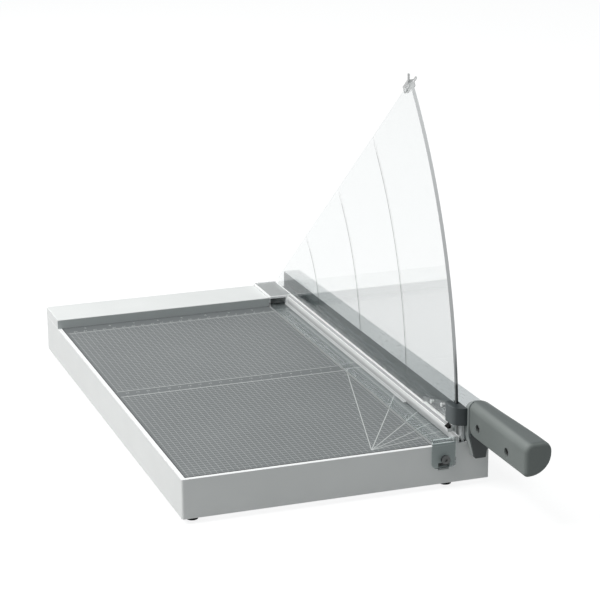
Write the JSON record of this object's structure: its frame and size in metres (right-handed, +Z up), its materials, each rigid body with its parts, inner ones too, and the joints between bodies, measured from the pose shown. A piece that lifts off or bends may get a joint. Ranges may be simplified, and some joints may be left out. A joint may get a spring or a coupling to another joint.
{
  "type": "guillotine paper cutter",
  "caption": "Guillotine paper cutter with a printed mat, a lever arm with its blade, a clear curved finger guard and a spring-lifted clear clamp.",
  "frame": {"origin": "middle of the cutter's box, on the surface it stands on", "axes": "+X to the right towards the arm, +Y to the back towards the pivot, +Z up"},
  "size_m": [0.278, 0.6104, 0.3415],
  "materials": {
    "white_paint": "fine-textured white powder coat",
    "printed_mat": "matt grey plastic with a light printed grid and scales",
    "dark_plastic": "satin dark grey moulding",
    "grip_plastic": "soft-touch grey moulding",
    "arm_paint": "smooth silver paint",
    "blade_steel": "ground steel",
    "clear_plastic": "clear polycarbonate, polished",
    "black_rubber": "matt black rubber",
    "bush_brass": "turned brass",
    "black_screws": "blackened steel",
    "zinc_steel": "zinc-plated steel"
  },
  "bodies": {
    "base": {"base_shell": "white_paint", "bottom_plate": "zinc_steel", "bottom_plate_screws": "zinc_steel", "knife_rail": "zinc_steel", "bed_knife": "blade_steel", "bed_knife_screws": "zinc_steel", "cutting_mat": "printed_mat", "paper_stop": "white_paint", "paper_stop_rule": "dark_plastic", "paper_stop_screws": "zinc_steel", "pivot_bracket": "zinc_steel", "pivot_bracket_screws": "zinc_steel", "pivot_bolt": "zinc_steel", "pivot_nut": "zinc_steel", "clamp_guide_screw": "zinc_steel", "clamp_guide_nut": "zinc_steel", "clamp_guide_pin": "zinc_steel", "spring_cup": "zinc_steel", "foot_front_left": "black_rubber", "foot_front_right": "black_rubber", "foot_rear_left": "black_rubber", "foot_rear_right": "black_rubber", "foot_screws": "zinc_steel"},
    "arm": {"blade_arm": "arm_paint", "cutting_blade": "blade_steel", "blade_screws": "zinc_steel", "pivot_bush": "bush_brass", "pivot_washer": "zinc_steel", "disc_spring": "zinc_steel", "arm_bolster": "dark_plastic", "guard_guide": "dark_plastic", "guide_screw": "zinc_steel", "handle_tang": "zinc_steel", "tang_screws": "zinc_steel", "grip": "grip_plastic", "grip_screws": "black_screws"},
    "clamp": {"clamp_rail": "clear_plastic", "clamp_rear_block": "clear_plastic", "clamp_front_tab": "clear_plastic", "clamp_bumper": "black_rubber", "finger_guard": "clear_plastic", "guard_bracket": "clear_plastic", "guard_rivets": "zinc_steel", "guard_stop_clip": "clear_plastic", "clamp_spring_front": "zinc_steel", "clamp_spring_back": "zinc_steel"}
  },
  "joints": [
    {"name": "arm_lift", "type": "hinge", "parent": "base", "child": "arm", "pos_m": [0.1262, 0.26975, 0.041], "axis": [-1, 0, 0], "range_deg": [0, 35]},
    {"name": "clamp_lift", "type": "slide", "parent": "base", "child": "clamp", "axis": [0, 0, 1], "range_m": [0, 0.0025], "deforming": ["clamp_spring_front", "clamp_spring_back"]}
  ]
}
